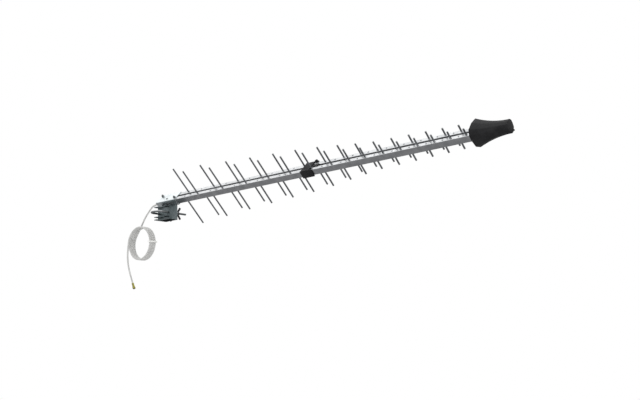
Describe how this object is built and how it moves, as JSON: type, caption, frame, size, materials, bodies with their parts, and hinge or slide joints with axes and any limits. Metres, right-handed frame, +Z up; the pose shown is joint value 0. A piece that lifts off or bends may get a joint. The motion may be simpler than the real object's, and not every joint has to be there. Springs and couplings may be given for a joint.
{
  "type": "cellular antenna",
  "caption": "Log-periodic cellular antenna: two boom tubes carry short rods, with a black nose cap, a mast clamp with wing nuts, and a coiled coax lead.",
  "frame": {"origin": "on the axis of the mast that the clamp holds, level with the U-bolt", "axes": "+X along the booms towards the nose cap, +Z up the mast, +Y from the mast towards the bracket's web"},
  "size_m": [1.356, 0.147, 0.3374],
  "materials": {
    "boom_aluminium": "drawn, slightly dull",
    "rod_aluminium": "drawn rod, satin",
    "black_plastic": "moulded, satin",
    "zinc_steel": "zinc plated, bluish",
    "bolt_steel": "zinc plated",
    "coax_jacket": "smooth white jacket",
    "tie_plastic": "moulded",
    "gold_brass": "gold plated"
  },
  "bodies": {
    "antenna": {"boom_near": "boom_aluminium", "boom_far": "boom_aluminium", "dipole_01": "rod_aluminium", "dipole_02": "rod_aluminium", "dipole_03": "rod_aluminium", "dipole_04": "rod_aluminium", "dipole_05": "rod_aluminium", "dipole_06": "rod_aluminium", "dipole_07": "rod_aluminium", "dipole_08": "rod_aluminium", "dipole_09": "rod_aluminium", "dipole_10": "rod_aluminium", "dipole_11": "rod_aluminium", "dipole_12": "rod_aluminium", "dipole_13": "rod_aluminium", "dipole_14": "rod_aluminium", "dipole_15": "rod_aluminium", "dipole_16": "rod_aluminium", "dipole_17": "rod_aluminium", "dipole_18": "rod_aluminium", "dipole_19": "rod_aluminium", "dipole_20": "rod_aluminium", "dipole_21": "rod_aluminium", "dipole_22": "rod_aluminium", "dipole_23": "rod_aluminium", "dipole_24": "rod_aluminium", "dipole_25": "rod_aluminium", "dipole_26": "rod_aluminium", "dipole_27": "rod_aluminium", "dipole_28": "rod_aluminium", "dipole_29": "rod_aluminium", "dipole_30": "rod_aluminium", "dipole_31": "rod_aluminium", "nose_cap": "black_plastic", "nose_insulator": "black_plastic", "feed_link": "gold_brass", "mid_clip": "black_plastic", "gap_spacer": "black_plastic", "clip_screw": "black_plastic", "clip_nut": "bolt_steel", "boom_cradle": "zinc_steel", "boom_strap": "zinc_steel", "strap_bolts": "bolt_steel", "strap_screw": "bolt_steel", "shorting_bridge": "zinc_steel", "mast_bracket": "zinc_steel", "mast_jaw": "zinc_steel", "leg_washers": "bolt_steel", "rear_plug_near": "black_plastic", "rear_plug_far": "black_plastic", "coax_lead": "coax_jacket", "coax_coil": "coax_jacket", "coil_tie": "tie_plastic", "coax_tail": "coax_jacket", "connector_body": "gold_brass"},
    "u_bolt": {"u_bolt": "bolt_steel"},
    "wing_nut_front": {"wing_nut_front": "bolt_steel"},
    "wing_nut_rear": {"wing_nut_rear": "bolt_steel"},
    "coupling_nut": {"coupling_nut": "gold_brass"}
  },
  "joints": [
    {"name": "u_bolt_slide", "type": "slide", "parent": "antenna", "child": "u_bolt", "axis": [0, 1, 0], "range_m": [0, 0.012]},
    {"name": "wing_nut_front_turn", "type": "hinge", "parent": "u_bolt", "child": "wing_nut_front", "pos_m": [0.0205, 0.0548, 0], "axis": [0, 1, 0], "range_deg": [-108, 2160]},
    {"name": "wing_nut_rear_turn", "type": "hinge", "parent": "u_bolt", "child": "wing_nut_rear", "pos_m": [-0.0205, 0.0548, 0], "axis": [0, 1, 0], "range_deg": [-108, 2160]},
    {"name": "coupling_nut_spin", "type": "hinge", "parent": "antenna", "child": "coupling_nut", "pos_m": [-0.1524, 0.0259, -0.1988], "axis": [0.3939, 0, -0.9191], "continuous": true}
  ]
}
